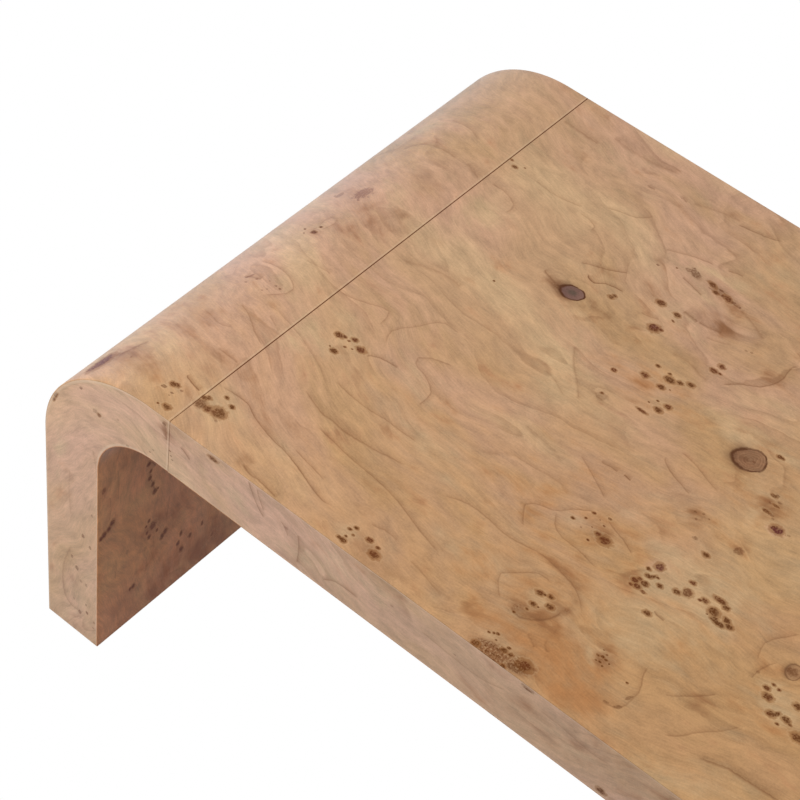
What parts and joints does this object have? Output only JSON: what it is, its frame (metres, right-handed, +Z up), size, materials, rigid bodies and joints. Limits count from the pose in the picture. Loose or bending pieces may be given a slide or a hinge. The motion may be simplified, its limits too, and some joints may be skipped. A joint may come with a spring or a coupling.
{
  "type": "waterfall coffee table",
  "caption": "Low rectangular coffee table whose thick burl-veneered top turns down over rounded corners into slab legs, with cam-locked seams and screw levelling feet.",
  "frame": {"origin": "on the floor under the middle of the table", "axes": "+X along the table from the left leg to the right leg, -Y out of the front, +Z up"},
  "size_m": [1.2, 0.6, 0.415],
  "materials": {
    "burl_veneer": "satin lacquered burl veneer",
    "panel_board": "raw fibreboard",
    "bent_plywood": "raw bending plywood",
    "frame_timber": "sawn softwood",
    "dowel_beech": "turned beech",
    "cast_zinc": "die-cast zinc",
    "bolt_steel": "zinc-plated steel",
    "insert_brass": "machined brass",
    "pad_nylon": "moulded nylon"
  },
  "bodies": {
    "root": {"top_veneer": "burl_veneer", "underside_veneer": "burl_veneer", "top_front_edge": "burl_veneer", "top_back_edge": "burl_veneer", "upper_board": "panel_board", "lower_board": "panel_board", "front_rail": "frame_timber", "back_rail": "frame_timber", "left_end_rail": "frame_timber", "right_end_rail": "frame_timber", "cross_ribs": "frame_timber", "left_leg_outer_veneer": "burl_veneer", "left_leg_inner_veneer": "burl_veneer", "left_leg_front_edge": "burl_veneer", "left_leg_back_edge": "burl_veneer", "left_leg_outer_skin": "bent_plywood", "left_leg_inner_skin": "bent_plywood", "left_leg_front_former": "frame_timber", "left_leg_back_former": "frame_timber", "left_leg_middle_formers": "frame_timber", "left_leg_foot_rail": "frame_timber", "left_leg_joint_rail": "frame_timber", "left_dowels": "dowel_beech", "left_cam_housings": "cast_zinc", "left_cam_bolts": "bolt_steel", "left_bolt_inserts": "insert_brass", "left_leveller_inserts": "insert_brass", "right_leg_outer_veneer": "burl_veneer", "right_leg_inner_veneer": "burl_veneer", "right_leg_front_edge": "burl_veneer", "right_leg_back_edge": "burl_veneer", "right_leg_outer_skin": "bent_plywood", "right_leg_inner_skin": "bent_plywood", "right_leg_front_former": "frame_timber", "right_leg_back_former": "frame_timber", "right_leg_middle_formers": "frame_timber", "right_leg_foot_rail": "frame_timber", "right_leg_joint_rail": "frame_timber", "right_dowels": "dowel_beech", "right_cam_housings": "cast_zinc", "right_cam_bolts": "bolt_steel", "right_bolt_inserts": "insert_brass", "right_leveller_inserts": "insert_brass"},
    "left_front_cam": {"left_front_cam": "cast_zinc"},
    "left_front_pad": {"left_front_pad": "pad_nylon"},
    "left_front_stem": {"left_front_stem": "bolt_steel"},
    "left_back_cam": {"left_back_cam": "cast_zinc"},
    "left_back_pad": {"left_back_pad": "pad_nylon"},
    "left_back_stem": {"left_back_stem": "bolt_steel"},
    "right_front_cam": {"right_front_cam": "cast_zinc"},
    "right_front_pad": {"right_front_pad": "pad_nylon"},
    "right_front_stem": {"right_front_stem": "bolt_steel"},
    "right_back_cam": {"right_back_cam": "cast_zinc"},
    "right_back_pad": {"right_back_pad": "pad_nylon"},
    "right_back_stem": {"right_back_stem": "bolt_steel"}
  },
  "joints": [
    {"name": "left_front_cam_turn", "type": "hinge", "parent": "root", "child": "left_front_cam", "pos_m": [-0.4068, -0.1265, 0.3483], "axis": [0, 0, 1], "range_deg": [0, 180]},
    {"name": "left_front_pad_travel", "type": "slide", "parent": "root", "child": "left_front_pad", "axis": [0, 0, 1], "range_m": [-0.01, 0]},
    {"name": "left_front_stem_turn", "type": "hinge", "parent": "left_front_pad", "child": "left_front_stem", "pos_m": [-0.566, -0.244, 0], "axis": [0, 0, 1], "range_deg": [-2880, 0]},
    {"name": "left_back_cam_turn", "type": "hinge", "parent": "root", "child": "left_back_cam", "pos_m": [-0.4068, 0.1265, 0.3483], "axis": [0, 0, 1], "range_deg": [0, 180]},
    {"name": "left_back_pad_travel", "type": "slide", "parent": "root", "child": "left_back_pad", "axis": [0, 0, 1], "range_m": [-0.01, 0]},
    {"name": "left_back_stem_turn", "type": "hinge", "parent": "left_back_pad", "child": "left_back_stem", "pos_m": [-0.566, 0.244, 0], "axis": [0, 0, 1], "range_deg": [-2880, 0]},
    {"name": "right_front_cam_turn", "type": "hinge", "parent": "root", "child": "right_front_cam", "pos_m": [0.4068, -0.1265, 0.3483], "axis": [0, 0, 1], "range_deg": [0, 180]},
    {"name": "right_front_pad_travel", "type": "slide", "parent": "root", "child": "right_front_pad", "axis": [0, 0, 1], "range_m": [-0.01, 0]},
    {"name": "right_front_stem_turn", "type": "hinge", "parent": "right_front_pad", "child": "right_front_stem", "pos_m": [0.566, -0.244, 0], "axis": [0, 0, 1], "range_deg": [-2880, 0]},
    {"name": "right_back_cam_turn", "type": "hinge", "parent": "root", "child": "right_back_cam", "pos_m": [0.4068, 0.1265, 0.3483], "axis": [0, 0, 1], "range_deg": [0, 180]},
    {"name": "right_back_pad_travel", "type": "slide", "parent": "root", "child": "right_back_pad", "axis": [0, 0, 1], "range_m": [-0.01, 0]},
    {"name": "right_back_stem_turn", "type": "hinge", "parent": "right_back_pad", "child": "right_back_stem", "pos_m": [0.566, 0.244, 0], "axis": [0, 0, 1], "range_deg": [-2880, 0]}
  ],
  "couplings": [
    {"joint": "left_front_stem_turn", "follows": "left_front_pad_travel", "rad_per_m": 5026.5},
    {"joint": "left_back_stem_turn", "follows": "left_back_pad_travel", "rad_per_m": 5026.5},
    {"joint": "right_front_stem_turn", "follows": "right_front_pad_travel", "rad_per_m": 5026.5},
    {"joint": "right_back_stem_turn", "follows": "right_back_pad_travel", "rad_per_m": 5026.5}
  ]
}
